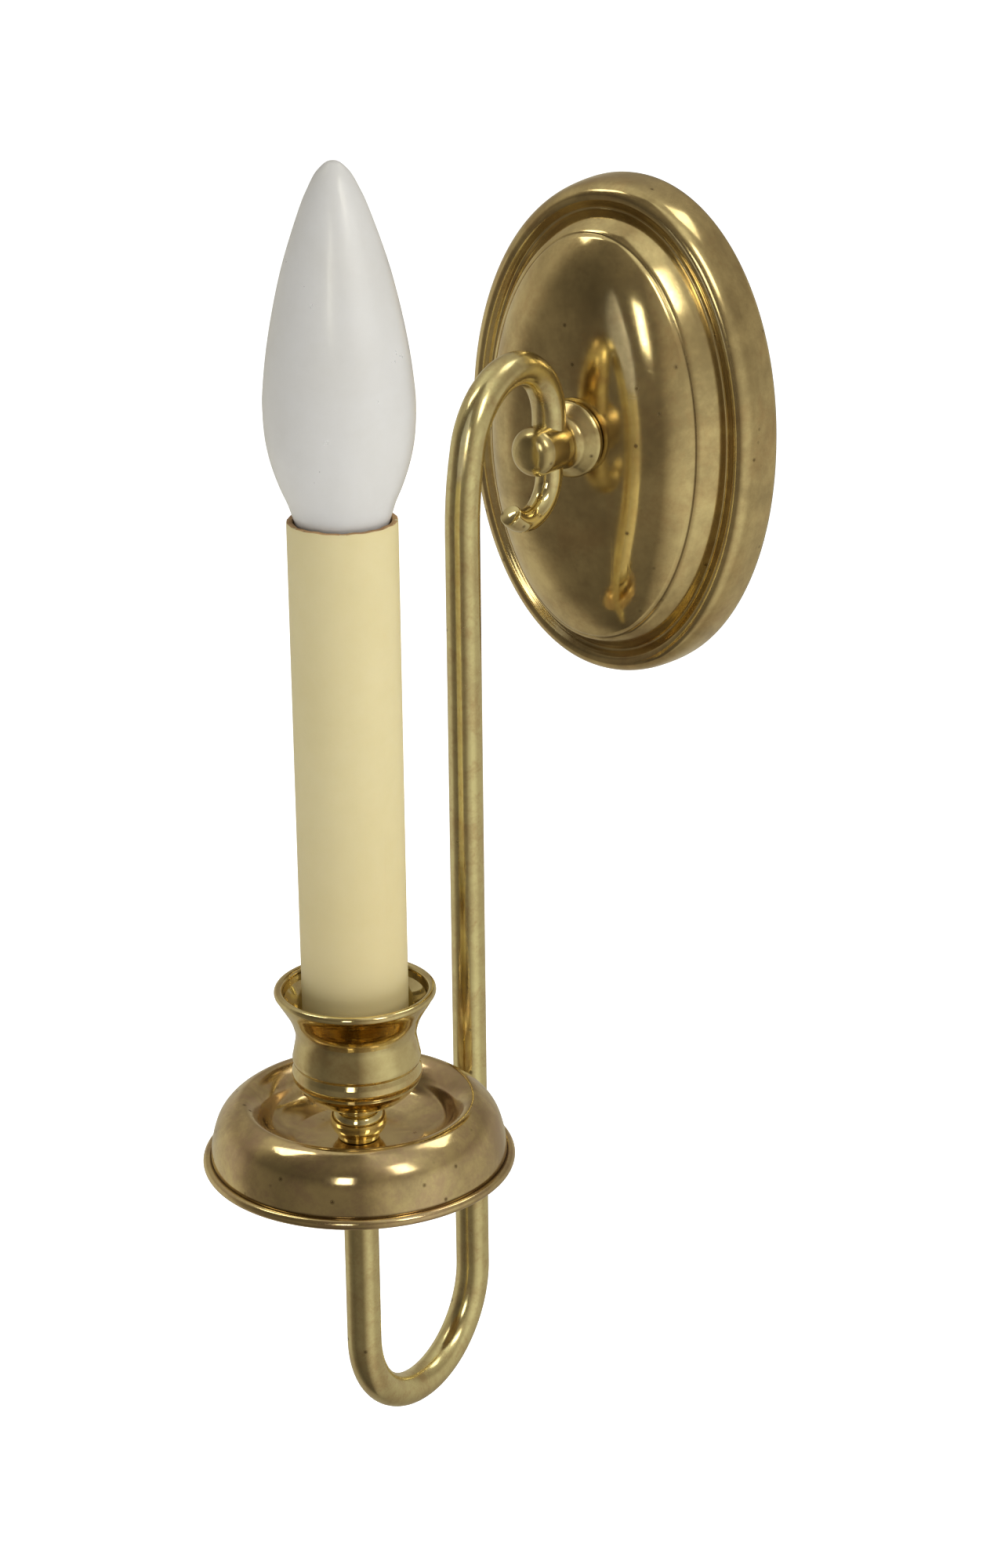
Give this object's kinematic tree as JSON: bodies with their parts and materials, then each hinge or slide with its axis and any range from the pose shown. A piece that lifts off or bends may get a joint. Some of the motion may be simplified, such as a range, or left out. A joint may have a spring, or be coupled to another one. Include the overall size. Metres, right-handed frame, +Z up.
{
  "type": "wall sconce candle holder",
  "caption": "Oval brass wall sconce: a looped tube arm carries a drip pan, a turned cup and an electric candle with a screw-in flame bulb.",
  "frame": {"origin": "centre of the backplate's outline, on the wall", "axes": "+Z up, +Y into the wall, the candle stands out towards -Y"},
  "size_m": [0.0784, 0.1562, 0.2937],
  "materials": {
    "backplate_brass": "aged and browned, mirror under the tarnish",
    "polished_brass": "polished with light tarnish",
    "arm_brass": "polished with a green-yellow cast",
    "pan_brass": "brown tarnish over polish",
    "nut_brass": "plain brass",
    "sleeve_fibre": "ivory waxed fibre, brown core",
    "bulb_glass": "frosted flame-shaped envelope",
    "clear_glass": "clear",
    "black_glass": "black insulator",
    "nickel_plate": "nickel plate",
    "tungsten": "coiled wire",
    "plated_steel": "zinc-plated steel",
    "green_screw": "green grounding screw",
    "black_phenolic": "moulded phenolic",
    "black_wire": "wire insulation",
    "white_wire": "wire insulation",
    "orange_cap": "twist-on connector"
  },
  "bodies": {
    "fixture": {"backplate": "backplate_brass", "arm_boss": "polished_brass", "arm": "arm_brass", "arm_tail": "polished_brass", "arm_seat_collar": "polished_brass", "drip_pan": "pan_brass", "stem_knop": "polished_brass", "candle_cup": "polished_brass", "socket_bracket": "plated_steel", "bracket_washer": "plated_steel", "cup_nut": "nut_brass", "socket_body": "black_phenolic", "socket_screw_shell": "nut_brass", "socket_centre_contact": "nut_brass", "socket_rivet": "plated_steel", "boss_nipple": "plated_steel", "boss_lock_washer": "plated_steel", "boss_nut": "plated_steel", "crossbar": "plated_steel", "crossbar_nut": "plated_steel", "box_screw_upper": "plated_steel", "box_screw_lower": "plated_steel", "ground_screw": "green_screw", "hot_lead": "black_wire", "neutral_lead": "white_wire", "wire_connector_hot": "orange_cap", "wire_connector_neutral": "orange_cap"},
    "candle_sleeve": {"candle_sleeve": "sleeve_fibre"},
    "bulb_rise": {"bulb_centre_contact": "nickel_plate"},
    "bulb": {"bulb_glass": "bulb_glass", "bulb_screw_base": "nickel_plate", "bulb_base_insulator": "black_glass", "bulb_stem": "clear_glass", "bulb_lead_left": "nickel_plate", "bulb_lead_right": "nickel_plate", "bulb_filament": "tungsten"}
  },
  "joints": [
    {"name": "sleeve_lift", "type": "slide", "parent": "fixture", "child": "candle_sleeve", "axis": [0, 0, 1], "range_m": [0, 0.125]},
    {"name": "bulb_lift", "type": "slide", "parent": "candle_sleeve", "child": "bulb_rise", "axis": [0, 0, 1], "range_m": [0, 0.0077]},
    {"name": "bulb_turn", "type": "hinge", "parent": "bulb_rise", "child": "bulb", "pos_m": [0, -0.1137, -0.01], "axis": [0, 0, 1], "range_deg": [0, 1080]}
  ],
  "couplings": [
    {"joint": "bulb_lift", "follows": "bulb_turn", "m_per_rad": 0.00040425}
  ]
}
